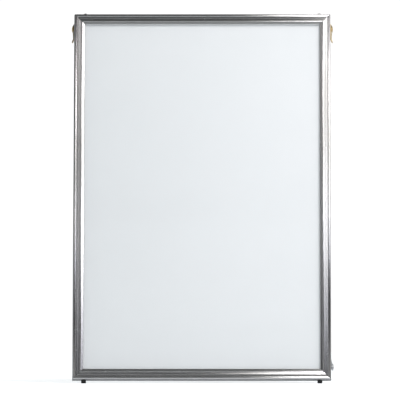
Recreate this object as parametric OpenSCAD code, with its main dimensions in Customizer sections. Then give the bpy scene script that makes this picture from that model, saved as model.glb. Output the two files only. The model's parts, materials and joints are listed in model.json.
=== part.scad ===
// Folding A-frame sandwich board: two aluminium snap frames, which hang from side hinges and hold a poster each.
// Width runs along X, the front leaf faces -Y, and the origin is on the floor, midway between the leaves.

/* [Poster] */
// Width of the poster
poster_w = 610; // [400:1:900]
// Height of the poster
poster_h = 914; // [500:1:1300]
// How far the frame laps over the poster on each side
poster_lap = 12; // [9:0.5:13]
// Thickness of the poster
poster_t = 0.3; // [0.2:0.1:0.6]
// Thickness of the clear cover sheet
sheet_t = 1; // [0.5:0.1:2]
// Thickness of the back panel
panel_t = 2; // [1.5:0.1:3]
// Clearance between the edges of the sheets and the stop rib
sheet_play = 0.8; // [0.3:0.1:1.5]

/* [Snap profile] */
// Width of the snap profile, seen from the front
rail_w = 27; // [25:0.5:36]
// Thickness of a leaf
leaf_t = 18; // [17:0.5:24]
// Thickness of the profile's back web
web_t = 1.6; // [1.2:0.1:2.4]
// Thickness of the profile's outer wall
wall_t = 1.4; // [1:0.1:2]
// Thickness of the profile's ribs
rib_t = 1.6; // [1.2:0.1:2]
// Height of the seat that the back panel lies on
seat_n = 5; // [4:0.1:6]
// Radius of the bead that a cover swings on
bead_r = 1.6; // [1.4:0.1:1.8]
// Running clearance between the bead and the cover's socket
bead_fit = 0.08; // [0.02:0.01:0.1]
// Wall thickness of the cover's socket
socket_t = 1.22; // [1:0.02:1.4]
// Thickness of the neck below the bead
neck_t = 1.1; // [0.9:0.1:1.3]
// Thickness of the cover plate
plate_t = 1.3; // [1:0.1:1.8]
// Gap between two mitred covers
mitre_gap = 0.75; // [0.75:0.05:1.2]

/* [Stand] */
// Angle between each leaf and the vertical when the board stands open
lean = 16; // [12:0.5:20]
// Distance from the top edge of a leaf down to the hinge pivots
hinge_drop = 33; // [28:1:45]
// Half the gap between the top edges when the board stands open
top_clear = 0.5; // [0.3:0.1:2]
// Height of the leaves' lowest edges above the floor
foot_drop = 6; // [4:0.5:12]
// Radius of a rubber foot
foot_r = 6; // [4:0.1:6]
// Distance of the feet and the top screws from the side edges
corner_in = 28; // [20:1:34]
// Length of a corner key's arms
key_arm = 40; // [38:1:60]

/* [Hinge] */
// Radius of the hinge pivots
pivot_r = 4; // [3:0.1:5]
// Running clearance around the hinge and stay pivots
pivot_fit = 0.08; // [0.02:0.01:0.1]
// Radius of the eye around a hinge pivot
eye_r = 8; // [6.7:0.1:9.6]
// Thickness of a hinge plate
hinge_t = 2; // [1.5:0.1:3]
// Radius of a pivot's domed head
pivot_head_r = 8; // [6:0.1:9]
// Length of a hinge plate below its pivot
hinge_tail = 38; // [32:1:50]

/* [Stay] */
// Height of the stay pivot above the leaf's bottom edge
stay_v = 33; // [30:1:35]
// Width of the stay
stay_w = 8; // [6:0.5:10]
// Thickness of the stay
stay_t = 2; // [1.6:0.1:4]
// Radius of the stud that the stay hooks over
stud_r = 4; // [3:0.1:4.5]
// Radius of the stud's head and of the stay bolt's head
stay_head_r = 7.5; // [6:0.1:9]

/* [Hidden] */
$fn = 64;
seat_gap = 0.3;
side_gap = 0.2;
fixed_fit = 0.05;
groove_d = 0.6;
ridge_r = 2;
outer_ridge_s = 6.3;
rib_h = 0.3;
shank_r = 2;
washer_r = 4.8;
washer_t = 0.8;
hex_r = 2.5;
foot_bore = 4;
cut = 1;

LEAVES = ["front", "rear"];
EDGES = ["top", "bottom", "left", "right"];
LEAF_PARTS = [
    "corner_keys", "corner_screws", "snap_springs", "back_panel", "poster", "clear_sheet",
    "top_screws", "top_washers", "rubber_feet", "foot_studs", "hinge_rivets"
];
SHARED_PARTS = [
    "hinge_pivots", "hinge_nuts", "stay_pivot_bolt", "stay_spacer", "stay_hook", "stay_stud"
];

// Leaf outline and the layers between the seat and the covers
leaf_w = poster_w + 2 * (rail_w - poster_lap);
leaf_h = poster_h + 2 * (rail_w - poster_lap);
sheet_edge = rail_w - poster_lap;
layers_top = seat_n + panel_t + poster_t + sheet_t;

// Base profile: s runs inward from the outer edge, n outward from the back
lip_setback = 2;
base_w = rail_w - lip_setback;
stop_clear = 0.4;
stop_s = sheet_edge - sheet_play;
ledge_w = 2;
ledge_t = 1.2;
edge_in = 0.1;
corner_r = 4.3;
socket_r = bead_r + bead_fit + socket_t;
bead_s = edge_in + socket_r;
bead_drop = 0.1;
bead_n = leaf_t - corner_r - bead_drop;
shoulder_clear = 1.1;
shoulder_n = bead_n - socket_r - shoulder_clear;
shoulder_t = 1.2;
inner_ridge_s = rail_w - 7.4;
neck_half = asin(neck_t / 2 / (bead_r + bead_fit));
screw_n = (web_t + shoulder_n - shoulder_t) / 2;

// Placing of the leaves about the hinge axis
hinge_v = leaf_h - hinge_drop;
hinge_back = hinge_drop * tan(lean) + top_clear / cos(lean);
hinge_z = hinge_v * cos(lean) - hinge_back * sin(lean) + foot_drop;

// Hinge plates and pivots, outward along X from the side of the leaf
side_x = leaf_w / 2;
rear_eye_x = side_x + hinge_t + side_gap;
pivot_head_x = rear_eye_x + hinge_t + side_gap;
pivot_head_h = 2.2;
nut_t = 3.4;
nut_r = pivot_r + 3;
flare_from = hinge_tail - 10;
plate_front_n = shoulder_n - 0.6;
plate_back_n = 1;
rivet_steps = [13, 23];
rivet_head_r = 3.4;
rivet_head_h = 1.5;
upset_r = 3;
upset_h = 1.2;

// The stay, from its pivot on the front leaf to the stud on the rear one
spacer_t = 2;
spacer_r = stud_r + 1.5;
stay_x = side_x + spacer_t + side_gap;
stay_head_x = stay_x + stay_t + side_gap;
stay_head_h = 2.2;
stay_thread_r = 3;
stay_thread_len = 11;
stay_foot_y = front_y(stay_v, screw_n);
stay_foot_z = front_z(stay_v, screw_n);
stay_len = -2 * stay_foot_y;
hook_in = stud_r + seat_gap;
hook_out = hook_in + stay_w;
stay_eye_r = stud_r + 4;

// World Y and Z of a point on the front leaf, from its height up the leaf and its distance from the back
function front_y(v, n) = (v - hinge_v) * sin(lean) - (n + hinge_back) * cos(lean);
function front_z(v, n) = hinge_z + (v - hinge_v) * cos(lean) + (n + hinge_back) * sin(lean);

// Which edge of a leaf's own layout is on that side of the board: the rear leaf is turned about
function own_edge(leaf, edge) =
    leaf == "front" ? edge : edge == "left" ? "right" : edge == "right" ? "left" : edge;
function own_side(leaf, side) = (own_edge(leaf, side) == "right" ? 1 : -1);
function edge_len(edge) = (edge == "top" || edge == "bottom") ? leaf_w : leaf_h;

// A leaf is laid out flat, X across, Y up the leaf and Z outward, and then stood in its place
module on_leaf(leaf) {
    rotate([0, 0, leaf == "front" ? 0 : 180])
        translate([0, 0, hinge_z])
            rotate([-lean, 0, 0])
                translate([0, -hinge_back, -hinge_v])
                    rotate([90, 0, 0])
                        children();
}

// A rail is laid out with X along it, Y inward and Z outward, and then moved to its edge of the leaf
module on_edge(edge) {
    if (edge == "bottom") children();
    if (edge == "top") translate([0, leaf_h, 0]) rotate([0, 0, 180]) children();
    if (edge == "left") translate([-leaf_w / 2, leaf_h / 2, 0]) rotate([0, 0, -90]) children();
    if (edge == "right") translate([leaf_w / 2, leaf_h / 2, 0]) rotate([0, 0, 90]) children();
}

// A profile run along the whole of a rail
module run(len) {
    translate([-len / 2, 0, 0]) rotate([90, 0, 90]) linear_extrude(len) children();
}

// Cuts a rail to 45 degrees at both ends
module mitred(len, gap) {
    deep = 1.25 * rail_w;
    half = len / 2 - gap;
    intersection() {
        children();
        translate([0, 0, -cut])
            linear_extrude(leaf_t + 2 * cut)
                polygon([[-half - cut, -cut], [half + cut, -cut], [half - deep, deep], [deep - half, deep]]);
    }
}

// A pin along X that starts at x on one side of the leaf and runs outward for len
module side_pin(side, x, v, n, r, len) {
    translate([side * x, v, n]) rotate([0, 90 * side, 0]) cylinder(r = r, h = len);
}

// A head with a spherical top, standing on the XY plane
module dome_head(r, h) {
    rim = 0.25 * h;
    crown = h - rim;
    ball = (r * r + crown * crown) / (2 * crown);
    rotate_extrude()
        intersection() {
            translate([0, h - ball]) circle(ball);
            square([r, h]);
        }
}

// Base extrusion: back web, outer wall with its bead, stop rib with the seat, and inner lip
module base_profile() {
    stop_top = layers_top + stop_clear;
    polygon([
        [0, 0], [base_w, 0], [base_w, seat_n], [base_w - rib_t, seat_n], [base_w - rib_t, web_t],
        [stop_s, web_t], [stop_s, seat_n - ledge_t], [stop_s + ledge_w, seat_n - ledge_t],
        [stop_s + ledge_w, seat_n], [stop_s, seat_n], [stop_s, stop_top],
        [stop_s - rib_t, stop_top], [stop_s - rib_t, web_t], [wall_t, web_t],
        [wall_t, shoulder_n - shoulder_t], [bead_s + neck_t / 2, shoulder_n - shoulder_t],
        [bead_s + neck_t / 2, bead_n], [bead_s - neck_t / 2, bead_n],
        [bead_s - neck_t / 2, shoulder_n], [0, shoulder_n]
    ]);
    translate([bead_s, bead_n]) circle(bead_r);
}

// Plate of the cover: a valley with a low rib, a gentle fall to a rounded nose, and the lip that holds the sheets
module cover_plate() {
    low = leaf_t - groove_d;
    under = low - plate_t;
    lip_n = layers_top + seat_gap;
    lip_w = 1.4;
    rib_s = rail_w * 0.45;
    rib_foot = 0.5;
    rib_top = 0.2;
    fall_s = inner_ridge_s + 1.2;
    fall_angle = 14;
    fall = tan(fall_angle);
    nose_r = 1.8;
    nose_steps = 6;
    nose_s = rail_w - nose_r;
    nose_n = low - (nose_s + nose_r * sin(fall_angle) - fall_s) * fall - nose_r * cos(fall_angle);
    nose = [
        for (i = [0 : nose_steps])
            let (a = (90 - fall_angle) * (1 - i / nose_steps))
                [nose_s + nose_r * cos(a), nose_n + nose_r * sin(a)]
    ];
    lip_in = rail_w - lip_w;
    lip_top = low - (lip_in - fall_s) * fall - plate_t / cos(fall_angle);
    hook_s = 9.6;
    hook_w = 1.2;
    hook_h = 1.6;
    overlap = 0.2;
    polygon(concat(
        [
            [edge_in + corner_r, low], [rib_s - rib_foot, low], [rib_s - rib_top, low + rib_h],
            [rib_s + rib_top, low + rib_h], [rib_s + rib_foot, low], [fall_s, low]
        ],
        nose,
        [
            [rail_w, lip_n], [lip_in, lip_n], [lip_in, lip_top],
            [fall_s - plate_t * tan(fall_angle / 2), under], [edge_in + corner_r, under]
        ]
    ));
    translate([hook_s, under - hook_h]) square([hook_w, hook_h + overlap]);
}

// A rounded ridge along the cover, kept above the underside of the plate
module cover_ridge(s) {
    intersection() {
        translate([s, leaf_t - ridge_r]) circle(ridge_r);
        translate([s - ridge_r, leaf_t - groove_d - plate_t / 2]) square([2 * ridge_r, plate_t + groove_d]);
    }
}

// Cover extrusion: the plate and a socket that clips round the bead and leaves its neck free to 90 degrees
module cover_run(len) {
    corner_reach = 1.5;
    free = neck_half + 4;
    reach = 3 * socket_r;
    opening = [for (a = [180 - free : (90 + 2 * free) / 6 : 270 + free]) reach * [cos(a), sin(a)]];
    difference() {
        union() {
            run(len) cover_plate();
            for (s = [outer_ridge_s, inner_ridge_s]) run(len) cover_ridge(s);
            run(len) translate([bead_s, bead_n]) circle(socket_r);
            run(len)
                intersection() {
                    translate([edge_in + corner_r, leaf_t - corner_r]) circle(corner_r);
                    translate([edge_in, bead_n]) square([corner_r + corner_reach, leaf_t - bead_n]);
                }
        }
        run(len + 2 * cut) translate([bead_s, bead_n]) circle(bead_r + bead_fit);
        run(len + 2 * cut) translate([bead_s, bead_n]) polygon(concat([[0, 0]], opening));
    }
}

// Every bore that the fixings need in a leaf's rails and keys
module fixing_bores(leaf) {
    fit = shank_r + fixed_fit;
    rivet_bore = 4;
    stay_bore = stay_thread_len + 3;
    for (side = [-1, 1]) {
        for (v = [0, leaf_h - key_arm])
            translate([side * (leaf_w / 2 - corner_in), v, screw_n])
                rotate([-90, 0, 0])
                    translate([0, 0, -cut]) cylinder(r = fit, h = key_arm + 2 * cut);
        for (step = rivet_steps)
            side_pin(side, side_x - rivet_bore, hinge_v - step, screw_n, fit, rivet_bore + 2 * cut);
    }
    side_pin(own_side(leaf, "right"), side_x - stay_bore, stay_v, screw_n, stay_thread_r + fixed_fit,
             stay_bore + 2 * cut);
    at_corner_screws() corner_screw(fixed_fit);
}

module base_rail(leaf, edge) {
    color("silver")
        on_leaf(leaf)
            difference() {
                on_edge(own_edge(leaf, edge))
                    mitred(edge_len(edge), fixed_fit) run(edge_len(edge)) base_profile();
                fixing_bores(leaf);
            }
}

// Room at the ends of a cover for its socket to turn without meeting the next rail's
module socket_relief(len) {
    turn = 0.8 * socket_r;
    for (side = [0, 1])
        mirror([side, 0, 0]) {
            translate([len / 2 - bead_s - socket_r - seat_gap, -cut, 0])
                cube([len, bead_s + socket_r + 2 * cut, bead_n]);
            translate([len / 2 - turn, -cut, 0]) cube([len, bead_s, bead_n + turn]);
        }
}

module snap_cover(leaf, edge) {
    color("lightgray")
        on_leaf(leaf)
            on_edge(own_edge(leaf, edge))
                difference() {
                    mitred(edge_len(edge), mitre_gap / 2 * sqrt(2)) cover_run(edge_len(edge));
                    socket_relief(edge_len(edge));
                }
}

// Angle keys in the channel behind the bead, one to a corner
module corner_keys(leaf) {
    inset = wall_t + side_gap;
    deep = stop_s - rib_t - seat_gap - inset;
    low = web_t + 2 * fixed_fit;
    thick = shoulder_n - shoulder_t - side_gap - low;
    color("gray")
        on_leaf(leaf)
            difference() {
                for (side = [-1, 1]) for (top = [0, 1])
                    translate([0, leaf_h / 2, 0])
                        mirror([side < 0 ? 1 : 0, 0, 0])
                            mirror([0, top, 0])
                                translate([-leaf_w / 2 + inset, -leaf_h / 2 + inset, low])
                                    linear_extrude(thick)
                                        polygon([
                                            [0, 0], [key_arm - inset, 0], [key_arm - inset, deep],
                                            [deep, deep], [deep, key_arm - inset], [0, key_arm - inset]
                                        ]);
                fixing_bores(leaf);
            }
}

// Two countersunk screws go through the back of each corner into its key
module at_corner_screws() {
    mid_s = (wall_t + stop_s - rib_t) / 2;
    away = 17;
    for (side = [-1, 1]) for (top = [0, 1])
        translate([0, leaf_h / 2, 0])
            mirror([side < 0 ? 1 : 0, 0, 0])
                mirror([0, top, 0])
                    for (p = [[away, mid_s], [mid_s, away]])
                        translate([-leaf_w / 2 + p[0], -leaf_h / 2 + p[1], 0]) children();
}

module corner_screw(grow) {
    head_h = 1.4;
    thread_h = 4;
    overlap = 0.01;
    translate([0, 0, -grow]) cylinder(r1 = shank_r + head_h + grow, r2 = shank_r + grow, h = head_h + grow);
    translate([0, 0, head_h - overlap]) cylinder(r = shank_r + grow, h = thread_h);
}

// A cross recess for a screwdriver, sunk from the XY plane
module cross_recess(span, width, depth) {
    for (turn = [0, 90])
        rotate([0, 0, turn]) translate([-span / 2, -width / 2, -depth]) cube([span, width, depth + cut]);
}

module corner_screws(leaf) {
    recess_d = 0.9;
    color("gray")
        on_leaf(leaf)
            at_corner_screws()
                difference() {
                    corner_screw(0);
                    mirror([0, 0, 1]) cross_recess(3.2, 0.8, recess_d);
                }
}

// Bowed spring strips between the web and the covers, which snap a cover open or shut
module snap_springs(leaf) {
    strip = 0.5;
    spring_len = 30;
    root = bead_s + socket_r + strip;
    heel = stop_s - rib_t - seat_gap;
    top = leaf_t - groove_d - plate_t - seat_gap;
    color("slategray")
        on_leaf(leaf)
            for (edge = EDGES) for (place = edge_len(edge) > leaf_w ? [-0.3, 0, 0.3] : [-0.25, 0.25])
                on_edge(edge)
                    translate([place * edge_len(edge) - spring_len / 2, 0, 0])
                        rotate([90, 0, 90])
                            linear_extrude(spring_len)
                                polygon([
                                    [root, web_t], [heel, web_t], [heel, web_t + strip],
                                    [root + 0.8, web_t + strip], [root + 3, top / 2],
                                    [root + 0.8, top - strip], [root + 2, top - strip],
                                    [root + 2, top], [root, top], [root + 2.4, top / 2]
                                ]);
}

// A flat sheet whose edges lie on the seat, with its back at height n
module sheet(leaf, n, thick) {
    on_leaf(leaf)
        translate([-poster_w / 2, sheet_edge, n])
            cube([poster_w, poster_h, thick]);
}

module back_panel(leaf) {
    color("white") sheet(leaf, seat_n, panel_t);
}

module poster(leaf) {
    color("ghostwhite") sheet(leaf, seat_n + panel_t, poster_t);
}

module clear_sheet(leaf) {
    color("azure", 0.4) sheet(leaf, seat_n + panel_t + poster_t, sheet_t);
}

// Stations of the top screws, standing outward from the top edge, and of the feet below the bottom edge
module at_top_screws() {
    for (side = [-1, 1])
        translate([side * (leaf_w / 2 - corner_in), leaf_h, screw_n]) rotate([-90, 0, 0]) children();
}

module at_feet() {
    for (side = [-1, 1])
        translate([side * (leaf_w / 2 - corner_in), 0, screw_n]) rotate([90, 0, 0]) children();
}

module top_screws(leaf) {
    head_r = 4.4;
    head_h = 3.7;
    recess_d = 1.5;
    depth = 11;
    color("dimgray")
        on_leaf(leaf)
            at_top_screws()
                difference() {
                    union() {
                        translate([0, 0, washer_t]) dome_head(head_r, head_h);
                        translate([0, 0, -depth]) cylinder(r = shank_r, h = depth + washer_t + cut / 2);
                    }
                    translate([0, 0, washer_t + head_h]) cross_recess(4.2, 1, recess_d);
                }
}

module top_washers(leaf) {
    color("darkgray")
        on_leaf(leaf)
            at_top_screws()
                difference() {
                    cylinder(r = washer_r, h = washer_t);
                    translate([0, 0, -cut]) cylinder(r = shank_r + fixed_fit, h = washer_t + 2 * cut);
                }
}

// Rubber feet run down the leaf and are cut level with the floor
module rubber_feet(leaf) {
    reach = 40;
    color("black")
        intersection() {
            on_leaf(leaf)
                at_feet()
                    difference() {
                        cylinder(r = foot_r, h = reach);
                        translate([0, 0, -cut]) cylinder(r = shank_r + fixed_fit, h = foot_bore + cut);
                    }
            translate([-leaf_w, -leaf_h, 0]) cube([2 * leaf_w, 2 * leaf_h, leaf_h]);
        }
}

module foot_studs(leaf) {
    depth = 11;
    color("gray")
        on_leaf(leaf)
            at_feet()
                translate([0, 0, -depth]) cylinder(r = shank_r, h = depth + foot_bore - side_gap);
}

// Side outline of a hinge plate, from its eye at the pivot to the leaf and down to where the tail flares
module hinge_outline() {
    difference() {
        union() {
            translate([hinge_v, -hinge_back]) circle(eye_r);
            polygon([
                [hinge_v + eye_r, -hinge_back], [hinge_v + eye_r, plate_front_n],
                [hinge_v - flare_from, plate_front_n], [hinge_v - flare_from, plate_back_n],
                [hinge_v - eye_r, -hinge_back]
            ]);
        }
        translate([hinge_v, -hinge_back]) circle(pivot_r + pivot_fit);
    }
}

// Section of a hinge plate across the leaf: flat on the front leaf, stepped over that plate on the rear one,
// where the step ends short of the rivet heads
module hinge_section(leaf) {
    step = leaf == "front" ? 0 : hinge_t + side_gap;
    bend = eye_r + 1 - hinge_back;
    joggle = screw_n - rivet_head_r - bend - pivot_fit;
    behind = -hinge_back - eye_r - 1;
    polygon([
        [plate_front_n, side_x], [bend + joggle, side_x], [bend, side_x + step], [behind, side_x + step],
        [behind, side_x + step + hinge_t], [bend, side_x + step + hinge_t],
        [bend + joggle, side_x + hinge_t], [plate_front_n, side_x + hinge_t]
    ]);
}

// Stands a hinge plate's layout on the right-hand side of a leaf, or mirrors it to the left
module on_side(side) {
    mirror([side < 0 ? 1 : 0, 0, 0]) children();
}

module hinge_plate(leaf, side) {
    flare = 4;
    color("goldenrod")
        on_leaf(leaf)
            on_side(own_side(leaf, side)) {
                difference() {
                    intersection() {
                        translate([side_x - cut, 0, 0])
                            rotate([90, 0, 90])
                                linear_extrude(2 * hinge_t + side_gap + 2 * cut) hinge_outline();
                        translate([0, hinge_v + eye_r + 1, 0])
                            rotate([90, 0, 0])
                                linear_extrude(flare_from + eye_r + 2)
                                    polygon_swap() hinge_section(leaf);
                    }
                    for (step = rivet_steps)
                        side_pin(1, side_x - cut, hinge_v - step, screw_n, shank_r + fixed_fit,
                                 hinge_t + 2 * cut);
                }
                translate([0, 0, plate_back_n])
                    linear_extrude(plate_front_n - plate_back_n)
                        polygon([
                            [side_x, hinge_v - flare_from], [side_x + hinge_t, hinge_v - flare_from],
                            [side_x + hinge_t + flare, hinge_v - hinge_tail],
                            [side_x + flare, hinge_v - hinge_tail]
                        ]);
            }
}

// Turns a layout of distance outward against X into X against distance outward
module polygon_swap() {
    mirror([1, -1, 0]) children();
}

module hinge_rivets(leaf) {
    color("gainsboro")
        on_leaf(leaf)
            for (side = [-1, 1]) for (step = rivet_steps) {
                side_pin(side, side_x - wall_t, hinge_v - step, screw_n, shank_r,
                         wall_t + hinge_t + rivet_head_h / 3);
                translate([side * (side_x + hinge_t), hinge_v - step, screw_n])
                    rotate([0, 90 * side, 0]) dome_head(rivet_head_r, rivet_head_h);
                side_pin(side, side_x - wall_t - upset_h, hinge_v - step, screw_n, upset_r, upset_h);
            }
}

module hinge_pivots() {
    socket_d = 1.4;
    overlap = 0.5;
    color("goldenrod")
        on_leaf("front")
            for (side = [-1, 1])
                difference() {
                    union() {
                        side_pin(side, side_x - nut_t, hinge_v, -hinge_back, pivot_r,
                                 pivot_head_x - side_x + nut_t + overlap);
                        translate([side * pivot_head_x, hinge_v, -hinge_back])
                            rotate([0, 90 * side, 0]) dome_head(pivot_head_r, pivot_head_h);
                    }
                    side_pin(side, pivot_head_x + pivot_head_h - socket_d, hinge_v, -hinge_back, hex_r,
                             2 * socket_d, $fn = 6);
                }
}

module hinge_nuts() {
    color("gray")
        on_leaf("front")
            for (side = [-1, 1])
                difference() {
                    side_pin(side, side_x - nut_t, hinge_v, -hinge_back, nut_r, nut_t, $fn = 6);
                    side_pin(side, side_x - nut_t - cut, hinge_v, -hinge_back, pivot_r + fixed_fit,
                             nut_t + 2 * cut);
                }
}

// A turned pin with a domed head that screws into the corner key on the right of the board
module stay_pin(leaf, head_from, collar_r) {
    side = own_side(leaf, "right");
    socket_d = 1.5;
    overlap = 0.5;
    on_leaf(leaf)
        difference() {
            union() {
                side_pin(side, side_x - stay_thread_len, stay_v, screw_n, stay_thread_r,
                         stay_thread_len + cut);
                side_pin(side, side_x, stay_v, screw_n, stud_r, head_from - side_x + overlap);
                if (collar_r > 0) side_pin(side, side_x, stay_v, screw_n, collar_r, spacer_t);
                translate([side * head_from, stay_v, screw_n])
                    rotate([0, 90 * side, 0]) dome_head(stay_head_r, stay_head_h);
            }
            side_pin(side, head_from + stay_head_h - socket_d, stay_v, screw_n, hex_r, 2 * socket_d, $fn = 6);
        }
}

module stay_pivot_bolt() {
    color("silver") stay_pin("front", stay_head_x, 0);
}

module stay_stud() {
    color("silver") stay_pin("rear", stay_head_x, spacer_r);
}

module stay_spacer() {
    side = own_side("front", "right");
    color("gray")
        on_leaf("front")
            difference() {
                side_pin(side, side_x, stay_v, screw_n, spacer_r, spacer_t);
                side_pin(side, side_x - cut, stay_v, screw_n, stud_r + fixed_fit, spacer_t + 2 * cut);
            }
}

// Outline of the stay: an eye at the pivot, a flat bar that clears the stud's path, and a hook over the stud
module stay_outline() {
    far_mid = hook_in + stay_w / 2;
    near_mid = stay_w / 2 - 2.5;
    jaw = 6;
    difference() {
        union() {
            circle(stay_eye_r);
            polygon([
                [0, near_mid - stay_w / 2], [stay_len, far_mid - stay_w / 2],
                [stay_len, far_mid + stay_w / 2], [0, near_mid + stay_w / 2]
            ]);
            intersection() {
                translate([stay_len, 0]) circle(hook_out);
                translate([stay_len - 0.5, 0]) square([hook_out + 1, hook_out]);
            }
            translate([stay_len + hook_in, -jaw]) square([stay_w, jaw]);
            translate([stay_len + hook_in + stay_w / 2, -jaw]) circle(stay_w / 2);
        }
        translate([stay_len, 0]) circle(hook_in);
        circle(stud_r + pivot_fit);
    }
}

module stay_hook() {
    color("silver")
        translate([stay_x, stay_foot_y, stay_foot_z])
            rotate([90, 0, 90])
                linear_extrude(stay_t) stay_outline();
}

for (leaf = LEAVES) for (edge = EDGES) {
    base_rail(leaf, edge);
    snap_cover(leaf, edge);
}
for (leaf = LEAVES) {
    corner_keys(leaf);
    corner_screws(leaf);
    snap_springs(leaf);
    back_panel(leaf);
    poster(leaf);
    clear_sheet(leaf);
    top_screws(leaf);
    top_washers(leaf);
    rubber_feet(leaf);
    foot_studs(leaf);
    hinge_rivets(leaf);
    for (side = ["left", "right"])
        hinge_plate(leaf, side);
}
hinge_pivots();
hinge_nuts();
stay_pivot_bolt();
stay_spacer();
stay_hook();
stay_stud();
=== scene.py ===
"""Looks for the folding sandwich board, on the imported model.

It adds a camera, studio light, fine rounds on the edges and a procedural material for every piece.
"""
import json
import math

import bpy
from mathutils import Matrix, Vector


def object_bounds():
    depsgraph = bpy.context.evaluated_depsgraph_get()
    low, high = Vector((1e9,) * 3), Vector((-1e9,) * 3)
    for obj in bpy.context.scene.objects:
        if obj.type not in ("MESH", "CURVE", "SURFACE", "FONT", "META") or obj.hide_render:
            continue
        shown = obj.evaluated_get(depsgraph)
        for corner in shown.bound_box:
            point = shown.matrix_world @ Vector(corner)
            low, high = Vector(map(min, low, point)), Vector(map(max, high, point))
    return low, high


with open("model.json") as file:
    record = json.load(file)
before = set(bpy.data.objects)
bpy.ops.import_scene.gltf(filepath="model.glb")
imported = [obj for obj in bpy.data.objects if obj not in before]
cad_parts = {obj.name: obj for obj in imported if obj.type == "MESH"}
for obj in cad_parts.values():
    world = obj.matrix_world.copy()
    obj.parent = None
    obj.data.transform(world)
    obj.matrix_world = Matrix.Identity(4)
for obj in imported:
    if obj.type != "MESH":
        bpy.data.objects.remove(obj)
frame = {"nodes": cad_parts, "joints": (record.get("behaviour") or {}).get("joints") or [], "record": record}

cad_low, cad_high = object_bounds()
nodes = frame["nodes"]
MM = 0.001

# Leaf tilt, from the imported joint: the leaves close by twice their lean
fold = next(joint for joint in frame["joints"] if joint["name"] == "leaf_fold")
LEAN = math.radians(fold["range_deg"][1]) / 2

# ---------------------------------------------------------------- camera

# Width of the view where the camera aims
VIEW_WIDTH = 0.994
CAMERA_DISTANCE = 22.0
CAMERA_SIDE_ANGLE = math.radians(0.35)
# The camera aims this far left of and below the middle of the board
CAMERA_LEFT = 5 * MM
CAMERA_DROP = 6.6 * MM
SENSOR_MM = 36.0
CLIP_NEAR = 0.5
CLIP_FAR = 200.0


def add_camera():
    centre = (cad_low + cad_high) / 2
    front = cad_low.y
    data = bpy.data.cameras.new("camera")
    data.sensor_width = SENSOR_MM
    data.lens = SENSOR_MM * CAMERA_DISTANCE / VIEW_WIDTH
    data.clip_start = CLIP_NEAR
    data.clip_end = CLIP_FAR
    camera = bpy.data.objects.new("camera", data)
    aim = Vector((-CAMERA_LEFT, front / 2, centre.z - CAMERA_DROP))
    back = Vector((math.sin(CAMERA_SIDE_ANGLE), -math.cos(CAMERA_SIDE_ANGLE), 0))
    camera.location = aim + back * CAMERA_DISTANCE
    camera.rotation_euler = (-back).to_track_quat("-Z", "Y").to_euler()
    bpy.context.scene.collection.objects.link(camera)
    bpy.context.scene.camera = camera


# ---------------------------------------------------------------- node helpers


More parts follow.
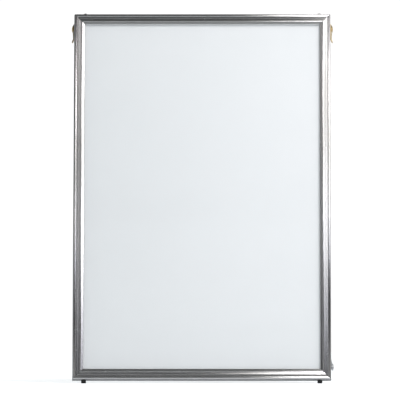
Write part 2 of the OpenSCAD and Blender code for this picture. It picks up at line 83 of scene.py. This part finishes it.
class Shader:
    """A node tree with a Principled shader, and short names for the nodes that the materials use."""

    def __init__(self, name, **sockets):
        self.material = bpy.data.materials.new(name)
        self.material.use_nodes = True
        self.tree = self.material.node_tree
        self.bsdf = self.tree.nodes["Principled BSDF"]
        for key, value in sockets.items():
            self.bsdf.inputs[key.replace("_", " ")].default_value = value
        self.coords = self.tree.nodes.new("ShaderNodeTexCoord").outputs["Object"]

    def node(self, kind, **properties):
        made = self.tree.nodes.new(kind)
        for key, value in properties.items():
            setattr(made, key, value)
        return made

    def link(self, source, target):
        self.tree.links.new(source, target)

    def mapped(self, scale=(1, 1, 1), tilt=0.0):
        """Object coordinates in metres, turned by tilt about X and then scaled."""
        turn = self.node("ShaderNodeVectorRotate", rotation_type="X_AXIS")
        turn.inputs["Angle"].default_value = tilt
        self.link(self.coords, turn.inputs["Vector"])
        size = self.node("ShaderNodeVectorMath", operation="MULTIPLY")
        size.inputs[1].default_value = scale
        self.link(turn.outputs[0], size.inputs[0])
        return size.outputs[0]

    def noise(self, vector, scale, detail, roughness, distortion=0.0):
        made = self.node("ShaderNodeTexNoise")
        made.inputs["Scale"].default_value = scale
        made.inputs["Detail"].default_value = detail
        made.inputs["Roughness"].default_value = roughness
        made.inputs["Distortion"].default_value = distortion
        self.link(vector, made.inputs["Vector"])
        return made.outputs["Fac"]

    def ramp(self, value, stops):
        """A colour ramp: stops is a list of (position, colour)."""
        made = self.node("ShaderNodeValToRGB")
        elements = made.color_ramp.elements
        while len(elements) < len(stops):
            elements.new(0.5)
        for element, (position, colour) in zip(elements, stops):
            element.position = position
            element.color = (*colour, 1)
        self.link(value, made.inputs["Fac"])
        return made.outputs["Color"]

    def span(self, value, low, high, start, end):
        """Turns a value that runs from start to end into one that runs from low to high."""
        made = self.node("ShaderNodeMapRange")
        made.inputs["From Min"].default_value = start
        made.inputs["From Max"].default_value = end
        made.inputs["To Min"].default_value = low
        made.inputs["To Max"].default_value = high
        self.link(value, made.inputs["Value"])
        return made.outputs["Result"]

    def mix(self, factor, first, second):
        """Mixes two colours: factor is a socket, and each colour is a socket or three numbers."""
        made = self.node("ShaderNodeMix", data_type="RGBA", blend_type="MIX")
        factor_in, first_in, second_in, colour_out = 0, 6, 7, 2
        self.link(factor, made.inputs[factor_in])
        for socket, value in ((first_in, first), (second_in, second)):
            if isinstance(value, bpy.types.NodeSocket):
                self.link(value, made.inputs[socket])
            else:
                made.inputs[socket].default_value = (*value, 1)
        return made.outputs[colour_out]

    def math(self, operation, first, second):
        """Joins a socket with another socket or with a number."""
        made = self.node("ShaderNodeMath", operation=operation)
        self.link(first, made.inputs[0])
        if isinstance(second, bpy.types.NodeSocket):
            self.link(second, made.inputs[1])
        else:
            made.inputs[1].default_value = second
        return made.outputs[0]

    def bump(self, height, strength, distance, normal=None):
        made = self.node("ShaderNodeBump")
        made.inputs["Strength"].default_value = strength
        made.inputs["Distance"].default_value = distance
        self.link(height, made.inputs["Height"])
        if normal is not None:
            self.link(normal, made.inputs["Normal"])
        return made.outputs["Normal"]

    def use(self, **sockets):
        for key, value in sockets.items():
            self.link(value, self.bsdf.inputs[key.replace("_", " ")])

    def tangent(self, direction):
        """A direction fixed in the piece, which turns with it."""
        made = self.node("ShaderNodeVectorTransform", vector_type="VECTOR")
        made.convert_from = "OBJECT"
        made.convert_to = "WORLD"
        made.inputs[0].default_value = direction
        self.link(made.outputs[0], self.bsdf.inputs["Tangent"])


# ---------------------------------------------------------------- materials

# Noise scales are in features per metre, first across a rail's drawn lines and then along them
LINES_ACROSS, LINES_ALONG = 700, 0.5
HAIRS_ACROSS, HAIRS_ALONG = 2600, 1.6
# Tones on the metal, as shares of its own tone
LINE_DARK, LINE_LIGHT = 0.93, 1.04
DRIFT_TONE = 0.93
SCUFF_TONE = 0.8


def shaded(colour, share):
    """The colour made darker or lighter, but no lighter than white."""
    return tuple(min(share * channel, 1) for channel in colour)


def extruded_aluminium(name, leaf, upright, colour, roughness, spread):
    """Satin anodised aluminium with drawing lines along the rail and a soft tone drift."""
    tilt = LEAN if leaf == "front" else -LEAN
    s = Shader(name, Metallic=1.0, Anisotropic=spread, Anisotropic_Rotation=0.25)
    if upright:
        along = (0, math.sin(tilt), math.cos(tilt))
        lines = (LINES_ACROSS, LINES_ACROSS, LINES_ALONG)
        hairs = (HAIRS_ACROSS, HAIRS_ACROSS, HAIRS_ALONG)
    else:
        along = (1, 0, 0)
        lines = (LINES_ALONG, LINES_ACROSS, LINES_ACROSS)
        hairs = (HAIRS_ALONG, HAIRS_ACROSS, HAIRS_ACROSS)
    s.tangent(along)
    draw = s.noise(s.mapped(lines, tilt), 1.0, 3.0, 0.6)
    hair = s.noise(s.mapped(hairs, tilt), 1.0, 1.0, 0.5)
    cloud = s.noise(s.mapped(), 6.0, 3.0, 0.55, 0.4)
    scuff = s.noise(s.mapped((90, 90, 90)), 1.0, 5.0, 0.7, 1.2)
    drawn = s.math("ADD", s.math("MULTIPLY", draw, 0.7), s.math("MULTIPLY", hair, 0.3))
    lined = s.ramp(drawn, [(0.3, shaded(colour, LINE_DARK)), (0.7, shaded(colour, LINE_LIGHT))])
    tone = s.mix(s.span(cloud, 0.0, 0.5, 0.35, 0.75), lined, shaded(colour, DRIFT_TONE))
    wear = s.span(scuff, 0.0, 0.3, 0.66, 0.8)
    s.use(Base_Color=s.mix(wear, tone, shaded(colour, SCUFF_TONE)))
    line_roughness = s.span(drawn, roughness - 0.05, roughness + 0.06, 0.3, 0.7)
    scuff_roughness = s.span(scuff, 0.0, 0.12, 0.62, 0.8)
    s.use(Roughness=s.math("ADD", line_roughness, scuff_roughness))
    s.use(Normal=s.bump(drawn, 0.14, 0.05 * MM))
    return s.material


def plated_steel(name, colour, roughness, patch, grain=900.0):
    """Zinc plated steel: a bright ground with faint patches and handling marks."""
    s = Shader(name, Metallic=1.0)
    cloud = s.noise(s.mapped(), 160.0, 4.0, 0.6, 0.6)
    fine = s.noise(s.mapped(), grain, 2.0, 0.5)
    s.use(Base_Color=s.mix(s.span(cloud, 0.0, 1.0, 0.35, 0.7), colour, patch))
    s.use(Roughness=s.span(cloud, roughness - 0.06, roughness + 0.1, 0.3, 0.7))
    s.use(Normal=s.bump(fine, 0.12, 0.05 * MM))
    return s.material


def yellow_zinc():
    """Yellow passivated zinc: gold that drifts to olive and rose where the film is thicker."""
    s = Shader("yellow_zinc", Metallic=1.0)
    film = s.noise(s.mapped(), 90.0, 4.0, 0.6, 1.5)
    fine = s.noise(s.mapped(), 1200.0, 2.0, 0.5)
    s.use(Base_Color=s.ramp(film, [
        (0.25, (0.38, 0.35, 0.18)), (0.42, (0.56, 0.45, 0.22)), (0.55, (0.62, 0.48, 0.26)),
        (0.66, (0.58, 0.40, 0.28)), (0.8, (0.42, 0.40, 0.25)),
    ]))
    s.use(Roughness=s.span(film, 0.24, 0.42, 0.3, 0.7))
    s.use(Normal=s.bump(fine, 0.15, 0.04 * MM))
    return s.material


def cast_metal():
    """Rough cast alloy with a grain."""
    s = Shader("cast_key", Metallic=1.0)
    grain = s.noise(s.mapped(), 700.0, 5.0, 0.65)
    s.use(Base_Color=s.ramp(grain, [(0.3, (0.36, 0.36, 0.37)), (0.7, (0.54, 0.54, 0.54))]))
    s.use(Roughness=s.span(grain, 0.5, 0.7, 0.3, 0.7))
    s.use(Normal=s.bump(grain, 0.5, 0.15 * MM))
    return s.material


def paper():
    """Blank coated paper, with a faint fibre and a barely visible cockle."""
    s = Shader("blank_poster", Specular_IOR_Level=0.25)
    fibre = s.noise(s.mapped(), 1500.0, 4.0, 0.6, 0.5)
    cloud = s.noise(s.mapped(), 5.0, 2.0, 0.5)
    base = s.ramp(fibre, [(0.3, (0.885, 0.895, 0.905)), (0.7, (0.905, 0.915, 0.925))])
    s.use(Base_Color=s.mix(s.span(cloud, 0.0, 0.25, 0.4, 0.7), base, (0.885, 0.90, 0.91)))
    s.use(Roughness=s.span(fibre, 0.55, 0.68, 0.3, 0.7))
    normal = s.bump(fibre, 0.1, 0.03 * MM)
    s.use(Normal=s.bump(cloud, 0.15, 0.3 * MM, normal))
    return s.material


def anti_glare_sheet():
    """Clear plastic with a fine matt texture, seen mostly as a soft sheen over the poster."""
    s = Shader("clear_sheet", IOR=1.49, Alpha=0.14, Specular_IOR_Level=0.5)
    pebble = s.noise(s.mapped(), 2200.0, 2.0, 0.5)
    smudge = s.noise(s.mapped(), 14.0, 4.0, 0.6, 0.8)
    s.use(Base_Color=s.ramp(smudge, [(0.35, (0.93, 0.955, 0.965)), (0.7, (0.96, 0.975, 0.985))]))
    s.use(Roughness=s.span(smudge, 0.28, 0.4, 0.35, 0.7))
    s.use(Normal=s.bump(pebble, 0.2, 0.02 * MM))
    return s.material


def moulded_white():
    """White sheet plastic for the backs, with a fine orange peel, light scuffs and a little dust."""
    s = Shader("white_panel", Specular_IOR_Level=0.4)
    peel = s.noise(s.mapped(), 650.0, 3.0, 0.55)
    cloud = s.noise(s.mapped(), 7.0, 4.0, 0.6, 0.5)
    rub = s.noise(s.mapped((14, 14, 160), LEAN), 1.0, 6.0, 0.75, 1.6)
    base = s.mix(s.span(cloud, 0.0, 0.5, 0.35, 0.75), (0.80, 0.81, 0.82), (0.75, 0.76, 0.765))
    s.use(Base_Color=s.mix(s.span(rub, 0.0, 0.4, 0.68, 0.82), base, (0.6, 0.6, 0.6)))
    s.use(Roughness=s.span(cloud, 0.42, 0.58, 0.3, 0.7))
    s.use(Normal=s.bump(peel, 0.25, 0.06 * MM))
    return s.material


def rubber():
    """Black rubber with a fine grain and some dust."""
    s = Shader("foot_rubber", Specular_IOR_Level=0.35)
    grain = s.noise(s.mapped(), 1400.0, 4.0, 0.6)
    dust = s.noise(s.mapped(), 130.0, 5.0, 0.7, 0.4)
    dusty = s.span(dust, 0.0, 0.45, 0.5, 0.85)
    s.use(Base_Color=s.mix(dusty, (0.018, 0.018, 0.02), (0.13, 0.12, 0.11)))
    s.use(Roughness=s.span(grain, 0.62, 0.82, 0.3, 0.7))
    s.use(Normal=s.bump(grain, 0.35, 0.08 * MM))
    return s.material


def dark_screw():
    """Dark grey satin metal, a little worn."""
    s = Shader("dark_screw", Metallic=0.3)
    fine = s.noise(s.mapped(), 1600.0, 3.0, 0.6)
    worn = s.noise(s.mapped(), 320.0, 4.0, 0.65, 0.5)
    wear = s.span(worn, 0.0, 0.5, 0.6, 0.78)
    s.use(Base_Color=s.mix(wear, (0.03, 0.03, 0.032), (0.16, 0.16, 0.165)))
    s.use(Roughness=s.span(worn, 0.34, 0.5, 0.3, 0.7))
    s.use(Normal=s.bump(fine, 0.2, 0.04 * MM))
    return s.material


COVER_TONE = (0.72, 0.72, 0.725)
BASE_TONE = (0.64, 0.64, 0.65)


def build_materials():
    """One material for each slot, and four for each aluminium slot: by leaf, and upright or level."""
    made = {
        "cast_key": cast_metal(),
        "zinc_screw": plated_steel("zinc_screw", (0.66, 0.67, 0.69), 0.3, (0.56, 0.58, 0.62)),
        "zinc_strip": plated_steel("zinc_strip", (0.64, 0.65, 0.67), 0.34, (0.54, 0.56, 0.6), 500.0),
        "spring_steel": plated_steel("spring_steel", (0.30, 0.32, 0.37), 0.32, (0.24, 0.22, 0.26)),
        "yellow_zinc": yellow_zinc(),
        "dark_screw": dark_screw(),
        "white_panel": moulded_white(),
        "blank_poster": paper(),
        "clear_sheet": anti_glare_sheet(),
        "foot_rubber": rubber(),
    }
    for leaf in ("front", "rear"):
        for upright in (False, True):
            key = (leaf, upright)
            kind = f"{leaf}_{'upright' if upright else 'level'}"
            made["brushed_aluminium", *key] = extruded_aluminium(
                "cover_aluminium_" + kind, *key, COVER_TONE, 0.27, 0.92)
            made["anodised_aluminium", *key] = extruded_aluminium(
                "base_aluminium_" + kind, *key, BASE_TONE, 0.3, 0.85)
    return made


def material_for(name, slot, made):
    """The slot's material, or the one for the rail's leaf and direction."""
    if slot in made:
        return made[slot]
    leaf = name.split("_")[0]
    upright = name.endswith(("left", "right"))
    return made[slot, leaf, upright]


# ---------------------------------------------------------------- fine edges

# How wide the round is on each kind of piece, in millimetres
EDGE_WIDTHS = {
    "base_rail": 0.22, "snap_cover": 0.22, "hinge_plate": 0.3, "stay_hook": 0.3, "rubber_feet": 0.45,
    "top_screws": 0.15, "top_washers": 0.1, "hinge_pivots": 0.2, "hinge_nuts": 0.3, "stay_spacer": 0.15,
    "stay_pivot_bolt": 0.2, "stay_stud": 0.2, "corner_keys": 0.3, "back_panel": 0.2,
}
EDGE_SEGMENTS = 2
# Only edges that turn by more than this are rounded
EDGE_ANGLE = math.radians(32)
WELD_DISTANCE = 0.001 * MM


def soften_edges(name, piece):
    """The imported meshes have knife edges: a small round on each catches the light as the real ones do."""
    width = next((w for key, w in EDGE_WIDTHS.items() if key in name), None)
    if width is None:
        return
    weld = piece.modifiers.new("weld", "WELD")
    weld.merge_threshold = WELD_DISTANCE
    bevel = piece.modifiers.new("edge", "BEVEL")
    bevel.width = width * MM
    bevel.segments = EDGE_SEGMENTS
    bevel.limit_method = "ANGLE"
    bevel.angle_limit = EDGE_ANGLE


# ---------------------------------------------------------------- studio


def aim_at(thing, target):
    thing.rotation_euler = (Vector(target) - thing.location).to_track_quat("-Z", "Y").to_euler()


def add_softbox(name, place, target, width, height, power, colour):
    """A rectangular area light that the camera doesn't see."""
    data = bpy.data.lights.new(name, "AREA")
    data.shape = "RECTANGLE"
    data.size = width
    data.size_y = height
    data.energy = power
    data.color = colour
    box = bpy.data.objects.new(name, data)
    box.location = place
    aim_at(box, target)
    box.visible_camera = False
    bpy.context.scene.collection.objects.link(box)


FLOOR_RADIUS = 4.0
FLOOR_SIDES = 96
FLOOR_TONE = (0.88, 0.885, 0.89)
# How brightly the floor glows to the camera, and the colour and strength of each part of the world
FLOOR_GLOW = 0.5
BACKDROP, BACKDROP_STRENGTH = (1, 1, 1), 1.05
METAL_ROOM, METAL_ROOM_STRENGTH = (0.9, 0.95, 1.0), 0.02
MATT_ROOM, MATT_ROOM_STRENGTH = (0.9, 0.975, 1.0), 0.47


def add_floor():
    """A pale floor disc at the height of the feet, which glows to the camera only."""
    mesh = bpy.data.meshes.new("floor")
    turns = [2 * math.pi * side / FLOOR_SIDES for side in range(FLOOR_SIDES)]
    rim = [(FLOOR_RADIUS * math.cos(turn), FLOOR_RADIUS * math.sin(turn), 0) for turn in turns]
    mesh.from_pydata(rim, [], [tuple(range(FLOOR_SIDES))])
    floor = bpy.data.objects.new("floor", mesh)
    floor.location = (0, 0, cad_low.z)
    bpy.context.scene.collection.objects.link(floor)
    s = Shader("floor", Roughness=0.8, Specular_IOR_Level=0.1)
    s.bsdf.inputs["Base Color"].default_value = (*FLOOR_TONE, 1)
    s.bsdf.inputs["Emission Color"].default_value = (1, 1, 1, 1)
    path = s.node("ShaderNodeLightPath")
    s.use(Emission_Strength=s.math("MULTIPLY", path.outputs["Is Camera Ray"], FLOOR_GLOW))
    mesh.materials.append(s.material)


def add_world():
    """White behind the board, a bright room for matt surfaces and a dim one in what the metal reflects."""
    world = bpy.data.worlds.new("studio")
    bpy.context.scene.world = world
    world.use_nodes = True
    tree = world.node_tree
    tree.nodes.clear()

    def background(colour, strength):
        made = tree.nodes.new("ShaderNodeBackground")
        made.inputs["Color"].default_value = (*colour, 1)
        made.inputs["Strength"].default_value = strength
        return made.outputs[0]

    def pick(flag, first, second):
        made = tree.nodes.new("ShaderNodeMixShader")
        tree.links.new(path.outputs[flag], made.inputs[0])
        tree.links.new(first, made.inputs[1])
        tree.links.new(second, made.inputs[2])
        return made.outputs[0]

    path = tree.nodes.new("ShaderNodeLightPath")
    seen_by_metal = background(METAL_ROOM, METAL_ROOM_STRENGTH)
    seen_by_matt = background(MATT_ROOM, MATT_ROOM_STRENGTH)
    shown = background(BACKDROP, BACKDROP_STRENGTH)
    room = pick("Is Diffuse Ray", seen_by_metal, seen_by_matt)
    out = tree.nodes.new("ShaderNodeOutputWorld")
    tree.links.new(pick("Is Camera Ray", room, shown), out.inputs["Surface"])


# Name, place, target, width, height, power in watts, colour
SOFTBOXES = [
    ("key_middle", (0.82, -1.4, 1.6), (0.1, -0.1, 0.5), 0.9, 0.9, 8.0, (1.0, 0.975, 0.94)),
    ("key_low", (0.95, -1.4, 1.15), (0.1, -0.1, 0.4), 0.8, 0.5, 3.8, (0.9, 0.91, 1.0)),
    ("key_high", (0.95, -1.3, 2.05), (0.2, -0.1, 0.6), 0.8, 0.5, 7.0, (1.0, 0.95, 0.965)),
    ("overhead_card", (0, 0.2, 3.0), (0, 0, 0), 4.0, 4.0, 10.0, (1.0, 1.0, 0.97)),
    ("front_card", (0, -5.0, 0.8), (0, 0, 0.45), 7.0, 1.6, 12.0, (1.0, 1.0, 1.0)),
    ("left_card", (-4.0, 0, 0.9), (0, 0, 0.45), 5.0, 1.8, 13.0, (0.95, 0.98, 1.0)),
    ("right_card", (4.0, 0, 0.9), (0, 0, 0.45), 5.0, 1.8, 13.0, (1.0, 0.99, 0.97)),
    ("back_card", (0, 5.0, 0.9), (0, 0, 0.45), 7.0, 1.8, 24.0, (1.0, 1.0, 1.0)),
    ("back_left", (-1.9, 2.3, 1.5), (0, 0, 0.45), 1.4, 1.8, 12.0, (0.95, 0.98, 1.0)),
    ("back_right", (2.4, 1.6, 1.3), (0, 0, 0.45), 1.0, 1.6, 8.0, (1.0, 0.985, 0.96)),
]


def add_lights():
    for softbox in SOFTBOXES:
        add_softbox(*softbox)


# ---------------------------------------------------------------- build

add_camera()
# Standard keeps the picture's tones as the lights give them
bpy.context.scene.view_settings.view_transform = "Standard"

materials = build_materials()
slots = {row["node"]: row["material_slot"] for row in frame["record"]["subparts"]}
for name, piece in nodes.items():
    material = material_for(name, slots[name], materials)
    for holder in piece.material_slots:
        holder.material = material
    soften_edges(name, piece)

add_floor()
add_world()
add_lights()
